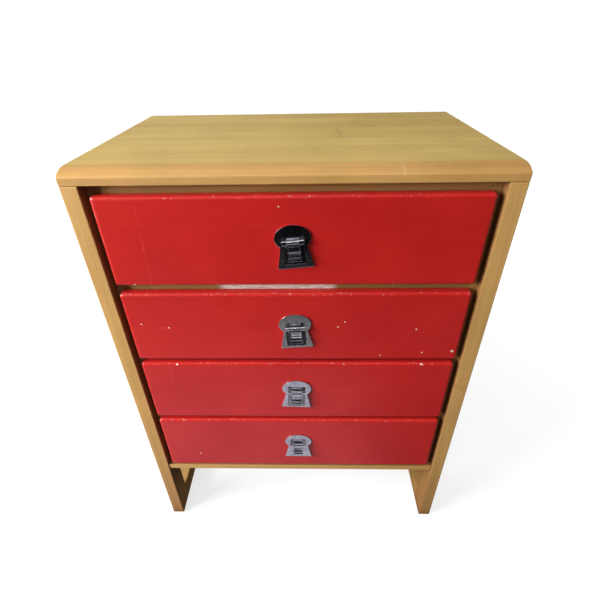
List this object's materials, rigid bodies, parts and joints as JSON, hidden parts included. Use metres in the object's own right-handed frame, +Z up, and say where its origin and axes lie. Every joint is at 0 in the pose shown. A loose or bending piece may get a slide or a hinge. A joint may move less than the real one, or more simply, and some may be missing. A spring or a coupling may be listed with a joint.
{
  "type": "chest of drawers",
  "caption": "Wooden chest of drawers on open sled legs, with red overlay drawer fronts, keyhole-shaped chrome plates and swinging rectangular bails; every drawer slides and every bail swings.",
  "frame": {"origin": "on the floor, under the middle of the whole chest's box, pulls included", "axes": "+Z up, the drawers and pulls face -Y, +X to the right as seen from the front"},
  "size_m": [0.76, 0.5018, 1.018],
  "materials": {
    "lacquered_wood": "satin clear lacquer on pale straight-grained wood",
    "drawer_wood": "planed, unfinished",
    "plywood": "sanded, unfinished",
    "red_lacquer": "semi-gloss red lacquer with small chips",
    "chrome": "polished chrome"
  },
  "bodies": {
    "case": {"back_panel": "plywood", "case_bottom": "lacquered_wood", "divider_rail_1": "lacquered_wood", "divider_rail_2": "lacquered_wood", "divider_rail_3": "lacquered_wood", "drawer_1_left_cleat": "drawer_wood", "drawer_1_right_cleat": "drawer_wood", "drawer_2_left_cleat": "drawer_wood", "drawer_2_right_cleat": "drawer_wood", "drawer_3_left_cleat": "drawer_wood", "drawer_3_right_cleat": "drawer_wood", "drawer_4_left_cleat": "drawer_wood", "drawer_4_right_cleat": "drawer_wood", "left_case_side": "lacquered_wood", "left_floor_runner": "lacquered_wood", "left_front_leg": "lacquered_wood", "left_rear_leg": "lacquered_wood", "left_upper_side_rail": "lacquered_wood", "right_case_side": "lacquered_wood", "right_floor_runner": "lacquered_wood", "right_front_leg": "lacquered_wood", "right_rear_leg": "lacquered_wood", "right_upper_side_rail": "lacquered_wood", "top_back_rail": "lacquered_wood", "top_board": "lacquered_wood", "top_front_rail": "lacquered_wood"},
    "drawer_1": {"drawer_1_front": "red_lacquer", "drawer_1_left_side": "drawer_wood", "drawer_1_right_side": "drawer_wood", "drawer_1_back": "drawer_wood", "drawer_1_bottom": "plywood", "pull_1_plate": "chrome", "pull_1_pin": "chrome"},
    "bail_1": {"pull_1_bail": "chrome"},
    "drawer_2": {"drawer_2_front": "red_lacquer", "drawer_2_left_side": "drawer_wood", "drawer_2_right_side": "drawer_wood", "drawer_2_back": "drawer_wood", "drawer_2_bottom": "plywood", "pull_2_plate": "chrome", "pull_2_pin": "chrome"},
    "bail_2": {"pull_2_bail": "chrome"},
    "drawer_3": {"drawer_3_front": "red_lacquer", "drawer_3_left_side": "drawer_wood", "drawer_3_right_side": "drawer_wood", "drawer_3_back": "drawer_wood", "drawer_3_bottom": "plywood", "pull_3_plate": "chrome", "pull_3_pin": "chrome"},
    "bail_3": {"pull_3_bail": "chrome"},
    "drawer_4": {"drawer_4_front": "red_lacquer", "drawer_4_left_side": "drawer_wood", "drawer_4_right_side": "drawer_wood", "drawer_4_back": "drawer_wood", "drawer_4_bottom": "plywood", "pull_4_plate": "chrome", "pull_4_pin": "chrome"},
    "bail_4": {"pull_4_bail": "chrome"}
  },
  "joints": [
    {"name": "drawer_1_slide", "type": "slide", "parent": "case", "child": "drawer_1", "axis": [0, -1, 0], "range_m": [0, 0.32]},
    {"name": "drawer_2_slide", "type": "slide", "parent": "case", "child": "drawer_2", "axis": [0, -1, 0], "range_m": [0, 0.32]},
    {"name": "drawer_3_slide", "type": "slide", "parent": "case", "child": "drawer_3", "axis": [0, -1, 0], "range_m": [0, 0.32]},
    {"name": "drawer_4_slide", "type": "slide", "parent": "case", "child": "drawer_4", "axis": [0, -1, 0], "range_m": [0, 0.32]},
    {"name": "bail_1_hinge", "type": "hinge", "parent": "drawer_1", "child": "bail_1", "pos_m": [0.00059, -0.24708, 0.89278], "axis": [-0.9952, 0, -0.0976], "range_deg": [-6, 90]},
    {"name": "bail_2_hinge", "type": "hinge", "parent": "drawer_2", "child": "bail_2", "pos_m": [0.00042, -0.24708, 0.70427], "axis": [-0.9976, 0, -0.0698], "range_deg": [-6, 90]},
    {"name": "bail_3_hinge", "type": "hinge", "parent": "drawer_3", "child": "bail_3", "pos_m": [-0.00022, -0.24708, 0.52325], "axis": [-0.9993, 0, 0.0366], "range_deg": [-6, 90]},
    {"name": "bail_4_hinge", "type": "hinge", "parent": "drawer_4", "child": "bail_4", "pos_m": [-0.00006, -0.24708, 0.3365], "axis": [-0.9999, 0, 0.0105], "range_deg": [-6, 90]}
  ]
}
